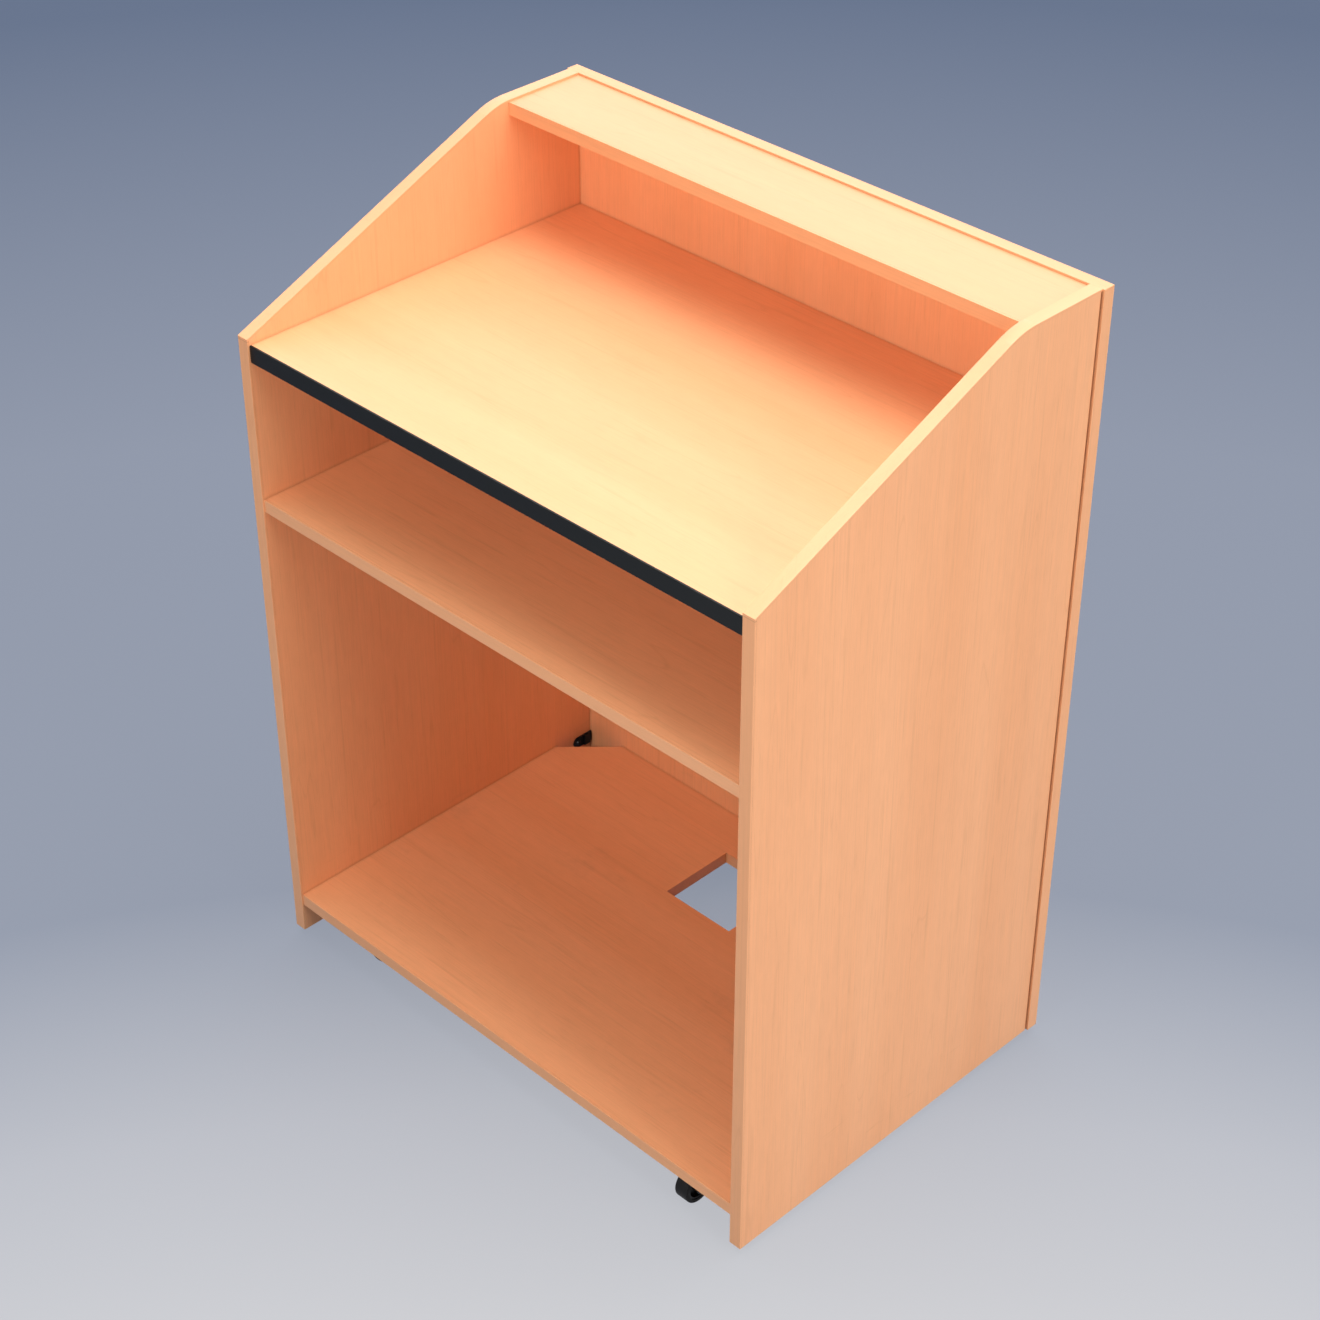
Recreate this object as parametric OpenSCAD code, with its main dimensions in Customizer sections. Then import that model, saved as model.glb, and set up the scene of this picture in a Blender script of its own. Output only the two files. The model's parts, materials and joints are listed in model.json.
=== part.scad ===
// Rolling lectern: an open-fronted cabinet of laminated panels with a sloped
// side profile, a full-width work surface, a shelf over its rear, a second shelf
// below it, a floor panel with a cable hole, and four swivel casters that the
// side and back panels hide.
// Axes: X across the lectern, -Y is the open side where the speaker stands,
// +Y is the closed side that faces the audience, Z is up, and Z = 0 is the floor.

/* [Cabinet] */
// Width over the outer faces of the two side panels
cabinet_w = 914.4; // [700:0.1:1200]
// Depth of a side panel, from its front edge to the back panel
side_d = 590.5; // [570:0.5:700]
// Height of a side panel, from its lower edge to its flat top
side_h = 1179.5; // [1120:0.5:1300]
// Depth from the front edge to the bend where the slope meets the flat top
slope_d = 444; // [380:1:450]
// Radius that rounds that bend
bend_r = 120; // [60:1:200]

/* [Panels] */
// Thickness of the sides, back, shelves and floor
panel_t = 19; // [17:0.1:22]
// Thickness of the work surface
worktop_t = 25.4; // [20:0.1:32]
// Thickness of the wood edge bands
band_t = 3; // [1:0.1:5]
// Overhang of the back panel past each side panel
back_overhang = 3.2; // [0:0.1:8]
// Width of the shadow groove between a side panel and the back panel
reveal_w = 2.4; // [0.5:0.1:5]
// Depth of that groove
reveal_d = 4; // [1:0.1:6]

/* [Shelves] */
// Height of the work surface's top above the lower edge of the sides
worktop_z = 984.3; // [900:0.1:1000]
// Setback of the work surface's front from the front edges of the sides
worktop_setback = 3.2; // [1:0.1:20]
// Rise of the sides' front corners above the work surface
front_rise = 9.4; // [5:0.1:40]
// Distance from the bend to the front of the top shelf
top_shelf_setback = 18; // [10:0.5:40]
// Drop of the top shelf below the top edges of the sides
top_shelf_drop = 3; // [0:0.1:10]
// Clear height between the middle shelf and the work surface
middle_gap = 207; // [120:0.5:400]
// Setback of the middle shelf's and floor panel's fronts
shelf_setback = 2.4; // [0:0.1:15]
// Height of the floor panel's underside above the lower edge of the sides
floor_z = 47.6; // [40:0.1:50]

/* [Cable openings] */
// Side of the square cable hole in the floor panel
cable_hole = 127; // [60:1:180]
// Distance from that hole to the back panel
cable_hole_inset = 75.5; // [40:0.5:120]
// Leg of the 45 degree clip on each rear corner of the floor panel
corner_clip = 76.2; // [60:0.2:78]

/* [Cord mount] */
// Length of the cord mount along the side panel
mount_l = 37.5; // [32:0.5:40]
// Height of the cord mount
mount_h = 18.7; // [14:0.1:24]
// Thickness of the cord mount's base
mount_t = 2.4; // [1.5:0.1:4]
// Height of the saddle over the cord mount's base
saddle_h = 3; // [2.5:0.1:5]

/* [Joinery] */
// Radius of a cam housing
cam_r = 7.4; // [6:0.1:9]
// Height of a cam housing
cam_h = 14; // [12.5:0.1:15]
// Distance from a shelf's end to the middle of its cam
cam_edge = 24; // [20:0.5:30]
// Radius of a wood dowel
dowel_r = 4; // [2.5:0.1:5]
// Length of a wood dowel
dowel_l = 35; // [26:1:50]
// Depth of the dowels and cam bolts inside the upright panels
joint_depth = 12; // [8:0.5:14]
// Distance from a cam to the dowel beside it
joint_pitch = 32; // [26:1:36]
// Distance from the front and rear of a deep shelf to its side cams
joint_inset = 92; // [88:1:110]
// Radial clearance of a fixed fitting in its bore
fit_gap = 0.1; // [0.05:0.01:0.2]

/* [Casters] */
// Distance from a side panel's inner face to a caster's kingpin
caster_side = 98.2; // [88:0.1:140]
// Distance from the floor panel's front and rear edges to a kingpin
caster_inset = 50.8; // [50:0.1:90]
// Radius of a caster wheel
wheel_r = 25.4; // [24:0.1:28]
// Width of a caster wheel's tread
wheel_w = 22.2; // [16:0.1:23]
// Distance from a kingpin to its axle
trail = 19; // [17:0.1:20]
// Depth of the rubber tread
tread_t = 5.4; // [3:0.1:7]
// Thickness of a caster's plate and fork
steel_t = 2.5; // [2:0.1:3]
// Length of a caster's plate across the lectern
plate_l = 60; // [58:0.5:66]
// Width of a caster's plate from front to rear
plate_w = 50; // [48:0.5:56]
// Radius of a fork's round top
fork_r = 21; // [20:0.1:22]
// Radius of the fork's lower ends
lobe_r = 8.5; // [7:0.1:10]
// Clearance between a wheel and its fork's top
wheel_gap = 2.1; // [1.8:0.1:4]
// Gap between a plate and its fork's top, which the balls bridge
race_gap = 2.4; // [2:0.1:3]
// Radius of a bearing ball
ball_r = 2; // [1.7:0.05:2.1]
// Number of bearing balls in a caster
ball_n = 18; // [8:1:20]
// Radius of the ring of balls
race_r = 14.5; // [14:0.1:15.5]
// Radius of a kingpin
kingpin_r = 4; // [3:0.1:4.5]
// Radius of an axle
axle_r = 3; // [2.5:0.1:3.5]
// Radial running clearance of the kingpins and axles
run_gap = 0.06; // [0.03:0.01:0.1]

/* [Hidden] */
CASTERS = ["front_left", "front_right", "rear_left", "rear_right"];
CASTER_PARTS = ["plate", "kingpin", "balls", "fork", "axle", "nut", "wheel", "tread"];
$fn = 60;
cut = 1;
body_gap = 0.3;

// Colours
laminate = [0.93, 0.72, 0.52];
band_wood = [0.88, 0.64, 0.46];
birch = [0.86, 0.74, 0.55];
black_plastic = [0.12, 0.13, 0.13];
rubber = [0.07, 0.07, 0.08];
black_steel = [0.16, 0.16, 0.18];
bright_steel = [0.72, 0.73, 0.75];
zinc = [0.62, 0.63, 0.65];

// Places of the panels in the cabinet's own frame, where Y = 0 is the sides'
// front edges and Z = 0 is their lower edges
inner_w = cabinet_w - 2 * panel_t;
total_d = side_d + panel_t;
back_half = cabinet_w / 2 + back_overhang;
side_front_h = worktop_z + front_rise;
floor_d = side_d - shelf_setback;
worktop_d = side_d - worktop_setback;
top_shelf_d = side_d - slope_d - top_shelf_setback;
top_shelf_z = side_h - top_shelf_drop - panel_t;
middle_z = worktop_z - worktop_t - middle_gap - panel_t;

// Each shelf's underside, front and depth
TOP_SHELF = [top_shelf_z, side_d - top_shelf_d, top_shelf_d];
WORKTOP = [worktop_z - worktop_t, worktop_setback, worktop_d];
MIDDLE = [middle_z, shelf_setback, floor_d];
FLOOR = [floor_z, shelf_setback, floor_d];
SHELVES = [TOP_SHELF, WORKTOP, MIDDLE, FLOOR];

// Slope of the sides and centre of the rounded bend
slope_a = atan((side_h - side_front_h) / slope_d);
bend_y = slope_d + bend_r * tan(slope_a / 2);
bend_z = side_h - bend_r;

// T-shaped mould on the work surface's front edge
mould_t = 3;
lip_r = mould_t / 2;
barb_d = 9.5;
barb_t = 2.4;

// Cam fittings, with the bolts at half a panel's thickness
cam_axis = panel_t / 2;
pocket_h = cam_h + 0.5;
bolt_r = 3;
thread_r = 2.5;
neck_r = 2;
bolt_head_r = 3.4;
bolt_head_l = 4;
cam_slot_gap = 0.3;
passage_r = bolt_r + 1;
cam_cross = [8, 1.4, 3];
end_gap = 0.3;
chamfer = 1;
dowel_reach = dowel_l - joint_depth;

// Screws
screw_r = 2.1;
screw_l = 15;
screw_head_r = 4.2;
screw_head_h = 2.2;
tip_l = 4;
tip_r = 0.4;
cross = [4.4, 1, 1.4];

// Cord mount, which butts against the back panel
mount_z = floor_z + 3;
saddle_l = 12;
saddle_gap = 5;
tunnel_l = 6;
tunnel_h = 1.8;

// Heights and forms of the casters, from the floor
fork_z = 2 * wheel_r + wheel_gap;
fork_top = fork_z + steel_t;
plate_z = fork_top + race_gap;
caster_h = plate_z + steel_t;
ball_z = plate_z - race_gap / 2;
groove_gap = 0.05;
fork_in = wheel_w / 2 + 1.4;
fork_out = fork_in + steel_t;
leg_front = 10;
leg_rear = 15;
hub_r = 8;
hub_half = fork_in - body_gap;
rim_r = wheel_r - tread_t;
rim_t = 3;
rim_half = wheel_w / 2 - 1.2;
web_half = 3;
bead_h = 1.4;
bead_half = 3;
tread_edge = 1.6;
hex_r = 5.6;
hex_h = 4.5;
axle_end = 1.5;
pin_head_r = 6.5;
pin_head_h = 2;
plate_corner = 6;
hole_edge = 7;
ground_gap = caster_h - floor_z;

// Places along a shelf's side joint, measured from the shelf's front
function deep(d) = d > 3 * joint_inset;
function side_cams(d) = deep(d) ? [joint_inset, d - joint_inset] : [d / 2];
function side_dowels(d) = deep(d)
    ? [joint_inset + joint_pitch, d / 2, d - joint_inset - joint_pitch]
    : [d / 4, d * 3 / 4];
rear_cams = [-inner_w / 4, inner_w / 4];
rear_dowels = [for (x = rear_cams) for (s = [-1, 1]) x + s * joint_pitch];

// Side, depth in the cabinet and resting angle of each caster
function caster_side_sign(i) = i % 2 == 0 ? -1 : 1;
function caster_depth(i) = i < 2 ? shelf_setback + caster_inset : side_d - caster_inset;
function caster_angle(i) = i == 0 ? 90 : 0;

// Point where a line from p touches the circle of radius r around c
function touch(p, c, r, s) =
    let (a = atan2(p[1] - c[1], p[0] - c[0]) + s * acos(r / norm(p - c)))
    c + r * [cos(a), sin(a)];

// Moves the cabinet's own frame onto the object's frame
module in_cabinet() {
    translate([0, -total_d / 2, ground_gap]) children();
}

// A block between two corners
module block(from, to) {
    translate(from) cube(to - from);
}

module rod_x(p, r, l) {
    translate(p) rotate([0, 90, 0]) cylinder(r = r, h = l);
}

// Stands a (depth, height) outline upright, from x to x + t
module upright(x, t) {
    translate([x, 0, 0]) rotate([90, 0, 90]) linear_extrude(t) children();
}

// Puts children on a joint face, with +X pointing into the upright panel
module at_side_joint(s, side, y) {
    translate([side * inner_w / 2, s[1] + y, s[0] + cam_axis])
        rotate([0, 0, side > 0 ? 0 : 180]) children();
}

module at_rear_joint(s, x) {
    translate([x, side_d, s[0] + cam_axis]) rotate([0, 0, 90]) children();
}

module at_cams(shelves) {
    for (s = shelves) {
        for (side = [-1, 1]) for (y = side_cams(s[2])) at_side_joint(s, side, y) children();
        for (x = rear_cams) at_rear_joint(s, x) children();
    }
}

module at_dowels(shelves) {
    for (s = shelves) {
        for (side = [-1, 1]) for (y = side_dowels(s[2])) at_side_joint(s, side, y) children();
        for (x = rear_dowels) at_rear_joint(s, x) children();
    }
}

// Blind bores in the uprights for the cam bolts and dowels of every shelf
module upright_bores() {
    at_cams(SHELVES) rod_x([-cut, 0, 0], thread_r + fit_gap, joint_depth + cut);
    at_dowels(SHELVES) rod_x([-cut, 0, 0], dowel_r + fit_gap, joint_depth + cut);
}

// Cam pockets, bolt passages and dowel bores in one shelf
module shelf_bores(s) {
    at_cams([s]) {
        translate([-cam_edge, 0, -cam_axis - cut])
            cylinder(r = cam_r + fit_gap, h = pocket_h + cut);
        rod_x([-cam_edge, 0, 0], passage_r, cam_edge + cut);
    }
    at_dowels([s]) rod_x([-dowel_reach - end_gap, 0, 0], dowel_r + fit_gap,
        dowel_reach + end_gap + cut);
}

function side_x(side) = side > 0 ? inner_w / 2 : -cabinet_w / 2;

// All that lies under a side's sloped, rounded and flat top, drawn in by i
module under_top(i, x, t) {
    reach = (bend_r - i) * tan(slope_a / 2);
    corner = slope_d + i * tan(slope_a / 2);
    a = [corner - reach * cos(slope_a), side_h - i - reach * sin(slope_a)];
    b = [corner + reach, side_h - i];
    middle = [bend_y, bend_z];
    upright(x, t) polygon([
        [-cut, -cut],
        [-cut, side_front_h - cut * tan(slope_a) - i / cos(slope_a)],
        a,
        b,
        [side_d + cut, side_h - i],
        [side_d + cut, -cut]
    ]);
    upright(x, t) intersection() {
        translate(middle) circle(r = bend_r - i);
        polygon([middle, 2 * a - middle, 2 * b - middle]);
    }
}

// The part of it that lies in one side panel, between two depths
module side_slab(side, i, from, to) {
    x = side_x(side);
    intersection() {
        under_top(i, x, panel_t);
        block([x, from, 0], [x + panel_t, to, side_h]);
    }
}

module side_panel(side) {
    groove = side > 0 ? cabinet_w / 2 - reveal_d : -cabinet_w / 2 - cut;
    color(laminate) in_cabinet() difference() {
        side_slab(side, band_t, band_t, side_d);
        block([groove, side_d - reveal_w, -cut],
            [groove + reveal_d + cut, side_d + cut, side_h]);
        upright_bores();
        if (side < 0) at_cord_mount_screw() cylinder(r = screw_r + fit_gap,
            h = 2 * screw_l, center = true);
    }
}

module side_front_band(side) {
    color(band_wood) in_cabinet() side_slab(side, band_t, 0, band_t);
}

// One strip over the slope, the bend and the flat top
module side_top_band(side) {
    color(band_wood) in_cabinet() difference() {
        side_slab(side, 0, 0, side_d);
        under_top(band_t, side_x(side) - cut, panel_t + 2 * cut);
    }
}

module back_panel() {
    color(laminate) in_cabinet() difference() {
        block([band_t - back_half, side_d, 0], [back_half - band_t, total_d, side_h - band_t]);
        upright_bores();
    }
}

module back_side_band(side) {
    x = side > 0 ? back_half - band_t : -back_half;
    color(band_wood) in_cabinet() block([x, side_d, 0], [x + band_t, total_d, side_h - band_t]);
}

module back_top_band() {
    color(band_wood) in_cabinet()
        block([-back_half, side_d, side_h - band_t], [back_half, total_d, side_h]);
}

// A shelf of thickness t behind a front band of thickness b
module shelf_board(s, t, b) {
    difference() {
        block([-inner_w / 2, s[1] + b, s[0]], [inner_w / 2, side_d, s[0] + t]);
        shelf_bores(s);
    }
}

module shelf_band(s) {
    color(band_wood) in_cabinet()
        block([-inner_w / 2, s[1], s[0]], [inner_w / 2, s[1] + band_t, s[0] + panel_t]);
}

module top_shelf() {
    color(laminate) in_cabinet() shelf_board(TOP_SHELF, panel_t, band_t);
}

module middle_shelf() {
    color(laminate) in_cabinet() shelf_board(MIDDLE, panel_t, band_t);
}

module mould_barb(gap) {
    translate([0, worktop_t / 2 - barb_t / 2 - gap])
        square([mould_t + barb_d + gap, barb_t + 2 * gap]);
}

module work_surface() {
    color(laminate) in_cabinet() difference() {
        shelf_board(WORKTOP, worktop_t, mould_t);
        translate([0, WORKTOP[1], WORKTOP[0]])
            upright(-inner_w / 2 - cut, inner_w + 2 * cut) mould_barb(fit_gap);
    }
}

// Cap with rounded lips, and the barb that holds it in the work surface
module work_surface_mould() {
    color(black_plastic) in_cabinet() translate([0, WORKTOP[1], WORKTOP[0]])
        upright(-inner_w / 2, inner_w) {
            translate([lip_r, lip_r]) circle(r = lip_r);
            translate([lip_r, worktop_t - lip_r]) circle(r = lip_r);
            translate([lip_r, 0]) square([mould_t - lip_r, worktop_t]);
            translate([0, lip_r]) square([mould_t, worktop_t - 2 * lip_r]);
            mould_barb(0);
        }
}

// Floor panel with the square cable hole and two clipped rear corners
module floor_panel() {
    hole_y = side_d - cable_hole_inset - cable_hole;
    h = inner_w / 2;
    color(laminate) in_cabinet() difference() {
        shelf_board(FLOOR, panel_t, band_t);
        block([-cable_hole / 2, hole_y, floor_z - cut],
            [cable_hole / 2, hole_y + cable_hole, floor_z + panel_t + cut]);
        for (side = [-1, 1]) translate([0, 0, floor_z - cut])
            linear_extrude(panel_t + 2 * cut) polygon([
                [side * (h + cut), side_d - corner_clip - cut],
                [side * (h + cut), side_d + cut],
                [side * (h - corner_clip - cut), side_d + cut]
            ]);
        translate([0, total_d / 2, -ground_gap]) at_caster_screws()
            cylinder(r = screw_r + fit_gap, h = 2 * screw_l, center = true);
    }
}

// Pan head screw: its head stands on z = 0 and its shank points down
module screw() {
    difference() {
        cylinder(r1 = screw_head_r, r2 = screw_head_r - 1, h = screw_head_h);
        for (a = [0, 90]) rotate([0, 0, a])
            translate([-cross[0] / 2, -cross[1] / 2, screw_head_h - cross[2]])
                cube([cross[0], cross[1], cross[2] + cut]);
    }
    translate([0, 0, tip_l - screw_l]) cylinder(r = screw_r, h = screw_l - tip_l);
    translate([0, 0, -screw_l]) cylinder(r1 = tip_r, r2 = screw_r, h = tip_l);
}

// Cord mount on the left side panel: +Z out of the panel, +X to the back panel
module at_cord_mount() {
    translate([-inner_w / 2, side_d - mount_l + mount_h / 2, mount_z])
        rotate([90, 0, 90]) children();
}

module at_cord_mount_screw() {
    at_cord_mount() translate([0, 0, mount_t]) children();
}

module cord_mount() {
    rear = mount_l - mount_h / 2;
    saddle_x = rear - saddle_gap - saddle_l;
    color(black_plastic) in_cabinet() at_cord_mount() difference() {
        union() {
            cylinder(r = mount_h / 2, h = mount_t);
            translate([0, -mount_h / 2, 0]) cube([rear, mount_h, mount_t]);
            translate([saddle_x, -mount_h / 2, 0]) cube([saddle_l, mount_h, mount_t + saddle_h]);
        }
        translate([saddle_x + saddle_l / 2 - tunnel_l / 2, -mount_h, mount_t])
            cube([tunnel_l, 2 * mount_h, tunnel_h]);
        cylinder(r = screw_r + 2 * fit_gap, h = 3 * mount_t, center = true);
    }
}

module cord_mount_screw() {
    color(black_steel) in_cabinet() at_cord_mount_screw() screw();
}

// Cam: a slot lets the bolt's neck in, a wider chamber holds its head
module cam_housings() {
    color(zinc) in_cabinet() at_cams(SHELVES) translate([-cam_edge, 0, 0]) difference() {
        translate([0, 0, -cam_axis]) cylinder(r = cam_r, h = cam_h);
        rod_x([-bolt_head_l / 2 - cam_slot_gap, 0, 0], bolt_head_r + cam_slot_gap,
            bolt_head_l + 2 * cam_slot_gap);
        rod_x([0, 0, 0], neck_r + cam_slot_gap, cam_r + cut);
        for (a = [0, 90]) translate([0, 0, -cam_axis]) rotate([0, 0, a])
            cube([cam_cross[0], cam_cross[1], 2 * cam_cross[2]], center = true);
    }
}

module cam_bolts() {
    neck_end = -cam_edge + cam_r + cut;
    color(bright_steel) in_cabinet() at_cams(SHELVES) {
        rod_x([-cam_edge - bolt_head_l / 2, 0, 0], bolt_head_r, bolt_head_l);
        rod_x([-cam_edge, 0, 0], neck_r, cam_edge);
        rod_x([neck_end, 0, 0], bolt_r, -neck_end);
        rod_x([-cut, 0, 0], thread_r, joint_depth - end_gap - chamfer + cut);
        translate([joint_depth - end_gap - chamfer, 0, 0]) rotate([0, 90, 0])
            cylinder(r1 = thread_r, r2 = thread_r - chamfer, h = chamfer);
    }
}

module wood_dowels() {
    length = dowel_l - end_gap;
    color(birch) in_cabinet() at_dowels(SHELVES) translate([-dowel_reach, 0, 0])
        rotate([0, 90, 0]) {
            cylinder(r1 = dowel_r - chamfer, r2 = dowel_r, h = chamfer);
            translate([0, 0, chamfer]) cylinder(r = dowel_r, h = length - 2 * chamfer);
            translate([0, 0, length - chamfer])
                cylinder(r1 = dowel_r, r2 = dowel_r - chamfer, h = chamfer);
        }
}

// Puts children on caster i's kingpin line, above the floor
module at_caster(i, angle) {
    x = caster_side_sign(i) * (inner_w / 2 - caster_side);
    translate([x, caster_depth(i) - total_d / 2, 0]) rotate([0, 0, angle]) children();
}

module at_plate_holes() {
    for (x = [-1, 1]) for (y = [-1, 1])
        translate([x * (plate_l / 2 - hole_edge), y * (plate_w / 2 - hole_edge), plate_z])
            children();
}

module at_caster_screws() {
    for (i = [0:3]) at_caster(i, 0) at_plate_holes() children();
}

module caster_screws() {
    color(bright_steel) at_caster_screws() rotate([180, 0, 0]) screw();
}

// Ring-shaped groove that the balls run in
module raceway() {
    translate([0, 0, ball_z]) rotate_extrude()
        translate([race_r, 0]) circle(r = ball_r + groove_gap);
}

// Countersunk end and shank of a kingpin, drawn larger by g
module kingpin_shank(g) {
    translate([0, 0, fork_z - body_gap - cut])
        cylinder(r = kingpin_r + g, h = caster_h - fork_z + body_gap + cut);
    translate([0, 0, caster_h - steel_t / 2])
        cylinder(r1 = kingpin_r + g, r2 = kingpin_r + steel_t / 2 + g, h = steel_t / 2);
}

module caster_plate(i) {
    c = [plate_l / 2 - plate_corner, plate_w / 2 - plate_corner];
    color(black_steel) at_caster(i, 0) difference() {
        translate([0, 0, plate_z]) linear_extrude(steel_t) {
            square([plate_l, 2 * c[1]], center = true);
            square([2 * c[0], plate_w], center = true);
            for (x = [-1, 1]) for (y = [-1, 1])
                translate([x * c[0], y * c[1]]) circle(r = plate_corner);
        }
        at_plate_holes() cylinder(r = screw_r + 5 * fit_gap, h = 3 * steel_t, center = true);
        raceway();
        kingpin_shank(fit_gap);
    }
}

module caster_kingpin(i) {
    color(bright_steel) at_caster(i, 0) {
        kingpin_shank(0);
        translate([0, 0, fork_z - body_gap - pin_head_h])
            cylinder(r = pin_head_r, h = pin_head_h);
    }
}

module caster_balls(i) {
    color(bright_steel) at_caster(i, 0) for (k = [0:ball_n - 1])
        rotate([0, 0, k * 360 / ball_n]) translate([race_r, 0, ball_z]) sphere(r = ball_r, $fn = 32);
}

// Puts children on the axle, with +Z along it
module on_axle() {
    translate([0, -trail, wheel_r]) rotate([0, 90, 0]) children();
}

module leg_outline() {
    c = [-trail, wheel_r];
    rear = [-leg_rear, fork_top];
    front = [leg_front, fork_top];
    polygon([front, rear, touch(rear, c, lobe_r, 1), c, touch(front, c, lobe_r, -1)]);
    translate(c) circle(r = lobe_r);
}

module caster_fork(i) {
    color(black_steel) at_caster(i, caster_angle(i)) difference() {
        union() {
            translate([0, 0, fork_z]) cylinder(r = fork_r, h = steel_t);
            upright(fork_in, steel_t) leg_outline();
            upright(-fork_out, steel_t) leg_outline();
        }
        raceway();
        cylinder(r = kingpin_r + run_gap, h = 2 * fork_top);
        on_axle() cylinder(r = axle_r + fit_gap, h = 3 * fork_out, center = true);
    }
}

// Axle bolt with a hexagon head
module caster_axle(i) {
    color(bright_steel) at_caster(i, caster_angle(i)) on_axle() {
        translate([0, 0, -fork_out - hex_h - axle_end])
            cylinder(r = axle_r, h = 2 * fork_out + hex_h + axle_end);
        translate([0, 0, fork_out]) cylinder(r = hex_r, h = hex_h, $fn = 6);
    }
}

module caster_nut(i) {
    color(bright_steel) at_caster(i, caster_angle(i)) on_axle()
        translate([0, 0, -fork_out - hex_h]) difference() {
            cylinder(r = hex_r, h = hex_h, $fn = 6);
            translate([0, 0, -cut]) cylinder(r = axle_r + fit_gap, h = hex_h + 2 * cut);
        }
}

// Ring around the axle between two radii
module ring(inner, outer, half) {
    rotate_extrude() translate([inner, -half]) square([outer - inner, 2 * half]);
}

module caster_wheel(i) {
    bore = axle_r + run_gap;
    color(black_plastic) at_caster(i, caster_angle(i)) on_axle() {
        ring(bore, hub_r, hub_half);
        ring(bore, rim_r, web_half);
        ring(rim_r - rim_t, rim_r, rim_half);
        ring(rim_r - rim_t, rim_r + bead_h, bead_half);
    }
}

module caster_tread(i) {
    half = wheel_w / 2;
    color(rubber) at_caster(i, caster_angle(i)) on_axle() rotate_extrude() difference() {
        union() {
            translate([rim_r, -half]) square([tread_t - tread_edge, wheel_w]);
            translate([rim_r, tread_edge - half]) square([tread_t, wheel_w - 2 * tread_edge]);
            for (s = [-1, 1]) translate([wheel_r - tread_edge, s * (half - tread_edge)])
                circle(r = tread_edge);
        }
        translate([0, -bead_half]) square([rim_r + bead_h, 2 * bead_half]);
    }
}

side_panel(-1);  // left_side_panel
side_panel(1);  // right_side_panel
back_panel();
top_shelf();
work_surface();
middle_shelf();
floor_panel();
side_front_band(-1);  // left_front_band
side_front_band(1);  // right_front_band
side_top_band(-1);  // left_top_band
side_top_band(1);  // right_top_band
back_side_band(-1);  // back_left_band
back_side_band(1);  // back_right_band
back_top_band();
shelf_band(TOP_SHELF);  // top_shelf_band
shelf_band(MIDDLE);  // middle_shelf_band
shelf_band(FLOOR);  // floor_band
work_surface_mould();
cord_mount();
cord_mount_screw();
cam_housings();
cam_bolts();
wood_dowels();
caster_screws();
for (i = [0:3]) {
    caster_plate(i);
    caster_kingpin(i);
    caster_balls(i);
    caster_fork(i);
    caster_axle(i);
    caster_nut(i);
    caster_wheel(i);
    caster_tread(i);
}
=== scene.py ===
"""Looks for the rolling lectern: laminate, plastic, rubber and metal finishes, floor, lamps and camera."""

import json
import math

import bpy
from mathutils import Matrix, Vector

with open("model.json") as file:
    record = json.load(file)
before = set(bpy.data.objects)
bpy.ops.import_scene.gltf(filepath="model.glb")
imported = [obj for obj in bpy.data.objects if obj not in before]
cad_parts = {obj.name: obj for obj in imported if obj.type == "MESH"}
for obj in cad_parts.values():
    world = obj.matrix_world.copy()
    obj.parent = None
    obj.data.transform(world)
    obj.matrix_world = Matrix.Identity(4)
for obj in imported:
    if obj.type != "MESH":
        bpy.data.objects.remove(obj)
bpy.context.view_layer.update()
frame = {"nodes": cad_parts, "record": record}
nodes = frame["nodes"]

# The laminate's colour, what the bands multiply it by, the top shelf's painted shade against its brighter
# light, and how strong the print is on bands
WOOD = (0.940, 0.440, 0.203)
BAND_LEVEL = 0.97
BOARD_PAINTED_SHADE = {"top_shelf": 0.9}
BAND_CONTRAST = 0.7

# For each board and band: the axis that its grain runs along and, where its cut edges are bare,
# the axis of its thickness
GRAIN = {
    "left_side_panel": ("Z", "X"),
    "right_side_panel": ("Z", "X"),
    "back_panel": ("Z", "Y"),
    "top_shelf": ("X", "Z"),
    "work_surface": ("X", "Z"),
    "middle_shelf": ("X", "Z"),
    "floor_panel": ("X", None),
    "left_front_band": ("Z", None),
    "right_front_band": ("Z", None),
    "left_top_band": ("Y", None),
    "right_top_band": ("Y", None),
    "back_left_band": ("Z", None),
    "back_right_band": ("Z", None),
    "back_top_band": ("X", None),
    "top_shelf_band": ("X", None),
    "middle_shelf_band": ("X", None),
    "floor_band": ("X", None),
}
SEAMED = ("left_front_band", "right_front_band")

# For each layer of the printed grain: its scale per metre along and across, detail and roughness
PRINT = {
    "broad": (0.5, 10.0, 2.0, 0.5),
    "mottle": (26.0, 70.0, 3.0, 0.65),
    "fibre": (6.0, 560.0, 3.0, 0.6),
    "wave": (0.55, 74.0, 1.0, 0.5),
    "gap": (11.0, 90.0, 2.0, 0.5),
    "pore": (28.0, 760.0, 1.0, 0.5),
}
SWAY = 0.010

# For each mark in the print: its strength, and its level and redness as tone takes them
SHORT_LINES = (0.17, 0.62, 0.86)
LONG_LINES = (0.15, 0.66, 0.82)
PORES = (0.16, 0.66, 0.84)

# Scuffs near the floor: the heights where they begin and are in full, their colour and strength
SCUFF_TOP, SCUFF_FULL = 0.20, 0.07
SCUFF = (0.42, 0.24, 0.15)
SCUFF_STRENGTH = 0.14

# How far below a band's top its glue line begins and ends, and how far the painted shade in corners and
# joints reaches
GLUE_LOW, GLUE_HIGH = 0.0013, 0.0004
PAINTED_SHADE_REACH = 0.005

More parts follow.
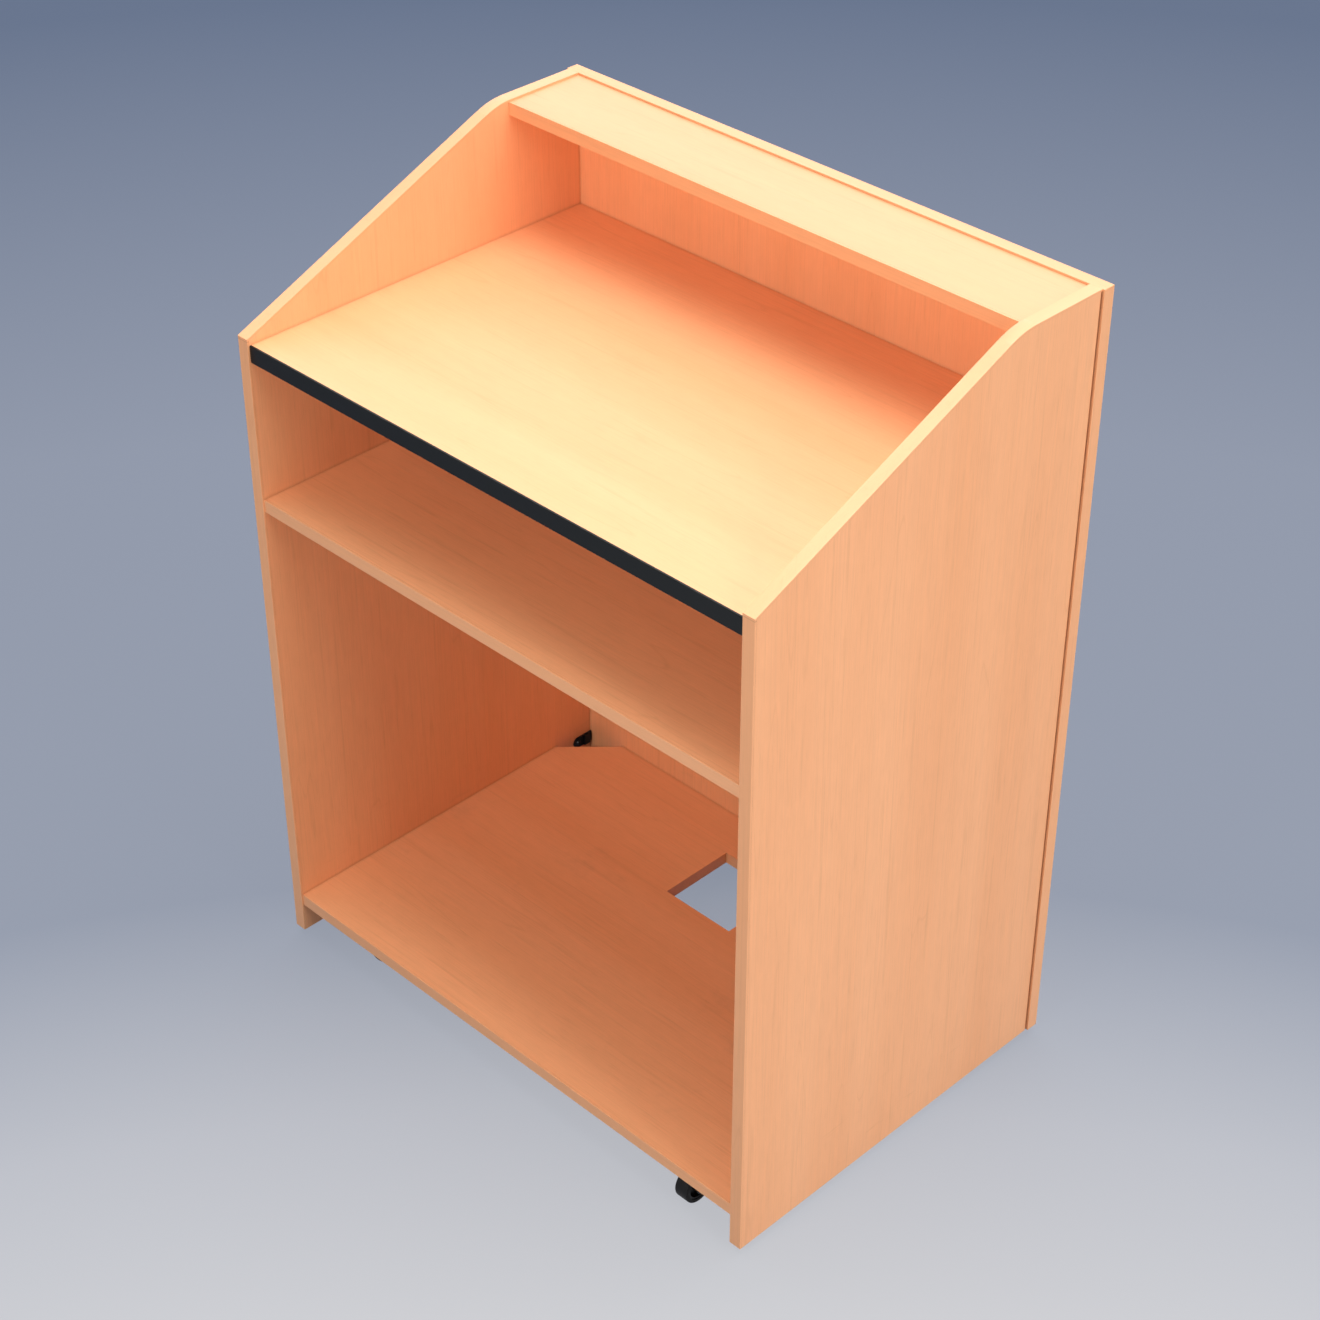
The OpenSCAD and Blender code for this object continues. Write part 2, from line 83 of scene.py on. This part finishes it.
# Particleboard's chips per metre and its darkest and palest chip
CHIPS = 420.0
DARK_CHIP = (0.50, 0.27, 0.13)
PALE_CHIP = (0.80, 0.47, 0.25)

# Dust on plastic, and dull spots on metal
DUST = (0.34, 0.31, 0.28)
DULL = (0.20, 0.12, 0.07)

# Rounding of boards' and bands' edges, and what counts as one point, one plane, flat and sharp
BOARD_ROUND = 0.0003
BAND_ROUND = 0.0004
SAME_POINT = 1e-6
SAME_PLANE = 1e-5
FLAT_WITHIN = math.radians(0.5)
SHARP_FROM = math.radians(40)

# The floor's far tone, and its tones by distance from the painted pool of light before the open side
FAR = (0.140, 0.182, 0.278)
PAINTED_POOL = (2.12, -2.12, 0.0)
TONES_FROM, TONES_TO = 2.0, 7.0
FLOOR_TONES = [
    (2.30, (0.637, 0.644, 0.672)),
    (2.75, (0.516, 0.533, 0.586)),
    (3.25, (0.305, 0.340, 0.424)),
    (4.60, (0.287, 0.323, 0.413)),
    (6.80, FAR),
]

# Half the floor's side, how much of its tone the lamps light, and its own glow's strength and share
FLOOR_HALF = 60.0
FLOOR_LIT = 0.52
FLOOR_GLOW = 1.05
FLOOR_GLOW_SHARE = 0.80

# For each lamp: its place, what it is aimed at, the side of its square and its power
LAMPS = {
    "overhead": ((0.3, 0.5, 6.0), (0.0, 0.1, 1.0), 3.8, 217.0),
    "right soft": ((4.0, -0.1, 2.1), (0.0, 0.0, 0.6), 2.0, 94.0),
    "front fill": ((0.4, -2.9, 2.3), (0.0, 0.0, 0.8), 1.0, 46.0),
}

# The sky's light: from all round, from above, from behind the object, and its loss before the object
SKY_AROUND = 0.14
SKY_ZENITH = 0.7
SKY_REAR = 1.3
SKY_LOSS = 0.6

# The camera's place, tilt and turn, and its lens and sensor in millimetres
CAMERA_AT = (2.13256, -2.12713, 2.70129)
CAMERA_TILT = math.radians(54.736)
CAMERA_TURN = math.radians(45.0)
LENS = 74.847
SENSOR = 36.0


# Node helpers


class Graph:
    """A node tree with short calls for the nodes that the finishes, the floor and the sky share."""

    def __init__(self, owner, output):
        owner.use_nodes = True
        self.tree = owner.node_tree
        self.tree.nodes.clear()
        self.surface = self.tree.nodes.new(output).inputs["Surface"]

    def put(self, socket, value):
        if isinstance(value, bpy.types.NodeSocket):
            self.tree.links.new(value, socket)
        else:
            socket.default_value = value

    def node(self, kind, inputs=None, **settings):
        made = self.tree.nodes.new(kind)
        for key, value in settings.items():
            setattr(made, key, value)
        for key, value in (inputs or {}).items():
            self.put(made.inputs[key], value)
        return made

    def vector(self, op, a, b):
        return self.node("ShaderNodeVectorMath", {0: a, 1: b}, operation=op).outputs[0]

    def maths(self, op, a, b=0.0, clamp=False):
        return self.node("ShaderNodeMath", {0: a, 1: b}, operation=op, use_clamp=clamp).outputs[0]

    def times(self, a, b):
        return self.maths("MULTIPLY", a, b)

    def parts(self, vector):
        """The X, Y and Z of a vector."""
        return self.node("ShaderNodeSeparateXYZ", {0: vector}).outputs

    def ramp(self, value, low, high, to_low=0.0, to_high=1.0):
        ends = {"From Min": low, "From Max": high, "To Min": to_low, "To Max": to_high}
        return self.node("ShaderNodeMapRange", {"Value": value, **ends}).outputs[0]

    def noise(self, at, scale, detail=2.0, rough=0.5, output=0):
        """Noise with its own scale on each axis; output 1 is its vector."""
        stretched = self.vector("MULTIPLY", at, scale)
        inputs = {"Vector": stretched, "Scale": 1.0, "Detail": detail, "Roughness": rough}
        return self.node("ShaderNodeTexNoise", inputs).outputs[output]

    def blend(self, factor, a, b, kind="MIX"):
        mix = self.node("ShaderNodeMix", data_type="RGBA", blend_type=kind)
        for index, value in ((0, factor), (6, a), (7, b)):
            self.put(mix.inputs[index], value)
        return mix.outputs[2]

    def shaded(self, colour, value):
        """The colour multiplied by a grey of that value."""
        grey = self.node("ShaderNodeCombineXYZ", {0: value, 1: value, 2: value}).outputs[0]
        return self.blend(1.0, colour, grey, "MULTIPLY")


class Finish(Graph):
    """A material with one Principled shader."""

    def __init__(self, name):
        self.material = bpy.data.materials.new(name)
        super().__init__(self.material, "ShaderNodeOutputMaterial")
        self.shader = self.node("ShaderNodeBsdfPrincipled")
        self.put(self.surface, self.shader.outputs[0])
        self.home = self.node("ShaderNodeTexCoord").outputs["Object"]

    def normal(self):
        """The X, Y and Z of the way that the surface faces."""
        return self.parts(self.node("ShaderNodeNewGeometry").outputs["Normal"])

    def bump(self, height, strength, distance):
        inputs = {"Height": height, "Strength": strength, "Distance": distance}
        self.put(self.shader.inputs["Normal"], self.node("ShaderNodeBump", inputs).outputs[0])

    def shade(self, **sockets):
        for name, value in sockets.items():
            self.put(self.shader.inputs[name.replace("_", " ")], value)
        return self.material


def rgb(r, g, b):
    return (r, g, b, 1.0)


# Laminate


def tone(level, red=1.0):
    """The laminate's colour, lighter or darker by level and redder where red is under 1."""
    return rgb(min(1.0, WOOD[0] * level), WOOD[1] * level * red, WOOD[2] * level * red * red)


def along(axis, grain, across):
    """A vector with one value along the grain and another across it."""
    return tuple(grain if letter == axis else across for letter in "XYZ")


def thin_line(g, value, centre, width):
    """1 where value crosses centre, falling to 0 within width of it."""
    off = g.maths("ABSOLUTE", g.maths("SUBTRACT", value, centre))
    return g.ramp(off, width, 0.0)


def core(g):
    """Particleboard, which shows only on unbanded cut edges."""
    chips = g.node("ShaderNodeTexVoronoi", {"Vector": g.home, "Scale": CHIPS}).outputs["Color"]
    return g.blend(g.parts(chips)[0], rgb(*DARK_CHIP), rgb(*PALE_CHIP))


def printed(g, layer, level, contrast):
    """The print's colour: soft bands with fine lines, long lines and pores, all shaded by the fibres."""

    def around_one(value, low, high, fall, rise):
        return g.ramp(value, low, high, 1.0 - fall * contrast, 1.0 + rise * contrast)

    def mark(body, where, strength, darker, red):
        return g.blend(g.times(where, strength * contrast), body, tone(level * darker, red))

    wave, gap, broad = layer["wave"], layer["gap"], layer["broad"]
    line = g.times(thin_line(g, wave, 0.5, 0.020), g.ramp(gap, 0.42, 0.56))
    other_line = g.times(thin_line(g, wave, 0.40, 0.014), g.ramp(gap, 0.60, 0.48))
    long_line = thin_line(g, g.maths("PINGPONG", g.times(broad, 5.0), 0.5), 0.0, 0.012)
    body = g.blend(g.ramp(broad, 0.25, 0.75), tone(level, 0.965), tone(level, 1.03))
    body = mark(body, g.maths("MAXIMUM", line, other_line), *SHORT_LINES)
    body = mark(body, long_line, *LONG_LINES)
    body = mark(body, g.ramp(layer["pore"], 0.64, 0.74), *PORES)
    shade = around_one(broad, 0.3, 0.7, 0.022, 0.02)
    shade = g.times(shade, around_one(layer["mottle"], 0.3, 0.7, 0.02, 0.02))
    shade = g.times(shade, around_one(layer["fibre"], 0.25, 0.75, 0.045, 0.04))
    return g.shaded(body, shade)


def laminate(name, index, seam=None):
    """Printed laminate for a board or band, from its own place in the print.

    Boards have painted shade in their corners and at their joints, and some of them bare core on their cut
    edges. A seam is the height of the glue line near the top of a band.
    """
    axis, thin = GRAIN[name]
    band = name.endswith("_band")
    # The top shelf's level is painted shade: the same laminate made darker because it is lit more brightly
    level = BAND_LEVEL if band else BOARD_PAINTED_SHADE.get(name, 1.0)
    contrast = BAND_CONTRAST if band else 1.0
    g = Finish(name + " laminate")
    at = g.vector("ADD", g.home, (1.37 * index, 2.11 * index, 0.83 * index))
    sway = g.noise(at, along(axis, 1.4, 2.4), 1.0, output=1)
    at = g.vector("ADD", at, g.vector("MULTIPLY", sway, along(axis, 0.0, SWAY)))
    layer = {}
    for key, (grain, across, detail, roughness) in PRINT.items():
        layer[key] = g.noise(at, along(axis, grain, across), detail, roughness)
    body = printed(g, layer, level, contrast)

    up = g.parts(g.home)[2]
    patch = g.ramp(g.noise(at, (9.0, 9.0, 70.0), 4.0, 0.7), 0.62, 0.74)
    scuff = g.times(g.ramp(up, SCUFF_TOP, SCUFF_FULL), patch)
    body = g.blend(g.times(scuff, SCUFF_STRENGTH), body, rgb(*SCUFF))
    rough = g.maths("ADD", g.ramp(layer["fibre"], 0.2, 0.8, 0.46, 0.58), g.times(scuff, 0.18), True)
    if thin:
        edge = g.ramp(g.maths("ABSOLUTE", g.normal()["XYZ".index(thin)]), 0.3, 0.2)
        body = g.blend(edge, body, core(g))
        rough = g.maths("ADD", rough, g.times(edge, 0.3), True)
    if seam:
        glue = g.ramp(up, seam - GLUE_LOW, seam - GLUE_HIGH)
        body = g.blend(g.times(glue, 0.5), body, tone(level * 0.55, 0.8))
    # Painted shade: laminate darker and redder in corners and at joints, wherever ambient occlusion finds
    # other parts close by
    if not band:
        painted_corner_shade = g.node("ShaderNodeAmbientOcclusion", {"Distance": PAINTED_SHADE_REACH}, samples=3).outputs["AO"]
        body = g.blend(g.ramp(painted_corner_shade, 0.85, 0.5, 0.0, 0.42), body, tone(level * 0.45, 0.75))
    height = g.maths("SUBTRACT", g.times(layer["fibre"], 0.7), g.ramp(layer["pore"], 0.62, 0.72, 0.0, 0.5))
    g.bump(height, 0.2, 0.00018)
    return g.shade(Base_Color=body, Roughness=rough, IOR=1.55, Coat_Weight=0.35, Coat_Roughness=0.4)


def front_top(obj):
    """Height of the top of a band's front face."""
    points = [vertex.co for vertex in obj.data.vertices]
    front = min(p.y for p in points)
    return max(p.z for p in points if p.y < front + SAME_PLANE)


# Plastic, rubber, metal and dowel finishes


def moulded(name, base, rough, grain, dust):
    """Moulded plastic, rubber or paint with a fine grain, uneven gloss and some dust on what faces up."""
    g = Finish(name)
    fine = g.noise(g.home, (grain,) * 3, 2.0, 0.6)
    wide = g.noise(g.home, (38.0,) * 3, 3.0, 0.6)
    colour = g.shaded(rgb(*base), g.ramp(wide, 0.3, 0.7, 0.82, 1.22))
    film = g.times(g.ramp(g.normal()[2], 0.2, 1.0, 0.0, dust), g.ramp(wide, 0.4, 0.65))
    colour = g.blend(film, colour, rgb(*DUST))
    g.bump(fine, 0.25, 0.00012)
    gloss = g.ramp(wide, 0.3, 0.7, rough - 0.06, rough + 0.08)
    return g.shade(Base_Color=colour, Roughness=gloss, IOR=1.5, Specular_IOR_Level=0.28)


def metal(name, base, rough, spot=0.0):
    """Plated or bare steel with fine marks, a patchy gloss and, by spot, some dull spots."""
    g = Finish(name)
    mark = g.noise(g.home, (500.0,) * 3, 2.0, 0.6)
    wide = g.noise(g.home, (60.0,) * 3, 3.0, 0.6)
    colour = g.shaded(rgb(*base), g.ramp(wide, 0.3, 0.7, 0.86, 1.08))
    colour = g.blend(g.ramp(wide, 0.60, 0.72, 0.0, spot), colour, rgb(*DULL))
    g.bump(mark, 0.18, 0.00008)
    gloss = g.ramp(wide, 0.3, 0.7, rough - 0.05, rough + 0.1)
    return g.shade(Base_Color=colour, Metallic=1.0, Roughness=gloss)


def birch(name):
    """Bare turned birch with its fibres along X."""
    g = Finish(name)
    fibre = g.noise(g.home, (60.0, 900.0, 900.0), 3.0, 0.6)
    colour = g.blend(fibre, rgb(0.60, 0.42, 0.24), rgb(0.76, 0.58, 0.38))
    g.bump(fibre, 0.3, 0.0002)
    return g.shade(Base_Color=colour, Roughness=g.ramp(fibre, 0.2, 0.8, 0.6, 0.75))


# Dressing the pieces


def soften(obj, width):
    """Rounds the sharp edges by a fraction of a millimetre, as real boards and bands have them."""
    weld = obj.modifiers.new("weld", "WELD")
    weld.merge_threshold = SAME_POINT
    flat = obj.modifiers.new("flat", "DECIMATE")
    flat.decimate_type = "DISSOLVE"
    flat.angle_limit = FLAT_WITHIN
    rounded = obj.modifiers.new("round", "BEVEL")
    rounded.width = width
    rounded.segments = 2
    rounded.limit_method = "ANGLE"
    rounded.angle_limit = SHARP_FROM
    rounded.harden_normals = True
    rounded.use_clamp_overlap = True


def dress():
    """Gives each piece its finish: laminate on boards and bands, and otherwise its slot's."""
    finish = {
        "black_edge_mould": moulded("edge mould", (0.006, 0.007, 0.007), 0.45, 700.0, 0.03),
        "black_plastic": moulded("black plastic", (0.005, 0.005, 0.006), 0.45, 1100.0, 0.05),
        "black_rubber": moulded("tread rubber", (0.007, 0.007, 0.008), 0.62, 600.0, 0.05),
        "black_steel": moulded("coated steel", (0.022, 0.022, 0.023), 0.34, 1500.0, 0.3),
        "bright_steel": metal("bright steel", (0.62, 0.61, 0.59), 0.22),
        "zinc": metal("zinc plate", (0.58, 0.59, 0.60), 0.36, 0.3),
        "birch": birch("birch dowel"),
    }
    slot_of = {piece["node"]: piece["material_slot"] for piece in frame["record"]["subparts"]}
    for index, (name, obj) in enumerate(sorted(nodes.items())):
        obj.data.materials.clear()
        if name in GRAIN:
            seam = front_top(obj) if name in SEAMED else None
            obj.data.materials.append(laminate(name, index, seam))
            soften(obj, BAND_ROUND if name.endswith("_band") else BOARD_ROUND)
        else:
            obj.data.materials.append(finish[slot_of[name]])


# Floor, lamps, sky and camera


def link(name, data):
    obj = bpy.data.objects.new(name, data)
    bpy.context.scene.collection.objects.link(obj)
    return obj


def floor():
    """A pale floor with a painted pool of light around the front of the object, blue-grey far from it."""
    mesh = bpy.data.meshes.new("floor")
    corners = [(x * FLOOR_HALF, y * FLOOR_HALF, 0) for x, y in ((-1, -1), (1, -1), (1, 1), (-1, 1))]
    mesh.from_pydata(corners, [], [(0, 1, 2, 3)])
    obj = link("floor", mesh)
    g = Finish("floor")
    reach = g.node("ShaderNodeVectorMath", {0: g.home, 1: PAINTED_POOL}, operation="DISTANCE").outputs["Value"]
    tones = g.node("ShaderNodeValToRGB", {0: g.ramp(reach, TONES_FROM, TONES_TO)})
    stops = tones.color_ramp.elements
    for i, (distance, colour) in enumerate(FLOOR_TONES):
        stop = stops[i] if i < 2 else stops.new(1.0)
        stop.position = (distance - TONES_FROM) / (TONES_TO - TONES_FROM)
        stop.color = rgb(*colour)
    seen = tones.outputs[0]
    g.bump(g.noise(g.home, (320.0,) * 3), 0.05, 0.0003)
    g.shade(Base_Color=g.shaded(seen, FLOOR_LIT), Roughness=0.9)
    path = g.node("ShaderNodeLightPath").outputs
    direct = g.maths("MAXIMUM", path["Is Camera Ray"], path["Is Glossy Ray"])
    # The floor's glow shows its painted tones to the camera and in reflections, which also lightens the
    # object's shadow on it
    glow = g.node("ShaderNodeEmission", {"Color": seen, "Strength": FLOOR_GLOW})
    share = g.times(direct, FLOOR_GLOW_SHARE)
    mix = g.node("ShaderNodeMixShader", {0: share, 1: g.shader.outputs[0], 2: glow.outputs[0]})
    g.put(g.surface, mix.outputs[0])
    obj.data.materials.append(g.material)


def lamp(name, where, aim, size, power):
    """A soft square lamp."""
    data = bpy.data.lights.new(name, "AREA")
    data.shape = "SQUARE"
    data.size = size
    data.energy = power
    obj = link(name, data)
    obj.location = where
    obj.rotation_euler = (Vector(aim) - obj.location).to_track_quat("-Z", "Y").to_euler()


def sky():
    """Soft light from all round, strongest from above; the camera sees the far floor's colour in it."""
    world = bpy.data.worlds.new("studio")
    bpy.context.scene.world = world
    g = Graph(world, "ShaderNodeOutputWorld")
    x, y, z = g.parts(g.node("ShaderNodeTexCoord").outputs["Generated"])
    above = g.maths("POWER", g.maths("MAXIMUM", z, 0.0), 3.0)
    behind = g.maths("MAXIMUM", g.maths("SUBTRACT", y, x), 0.0)
    level = g.maths("ADD", g.times(above, SKY_ZENITH), SKY_AROUND)
    level = g.maths("ADD", level, g.times(behind, SKY_REAR))
    ahead = g.maths("MAXIMUM", g.times(y, -SKY_LOSS), 0.0)
    level = g.times(level, g.maths("SUBTRACT", 1.0, ahead))
    light = g.node("ShaderNodeBackground", {"Color": rgb(1, 1, 1), "Strength": level})
    seen = g.node("ShaderNodeBackground", {"Color": rgb(*FAR)})
    direct = g.node("ShaderNodeLightPath").outputs["Is Camera Ray"]
    mix = g.node("ShaderNodeMixShader", {0: direct, 1: light.outputs[0], 2: seen.outputs[0]})
    g.put(g.surface, mix.outputs[0])


def camera():
    data = bpy.data.cameras.new("camera")
    data.lens = LENS
    data.sensor_width = SENSOR
    obj = link("camera", data)
    obj.location = CAMERA_AT
    obj.rotation_euler = (CAMERA_TILT, 0.0, CAMERA_TURN)
    bpy.context.scene.camera = obj


dress()
floor()
for lamp_name, settings in LAMPS.items():
    lamp(lamp_name, *settings)
sky()
camera()
bpy.context.scene.view_settings.view_transform = "Standard"
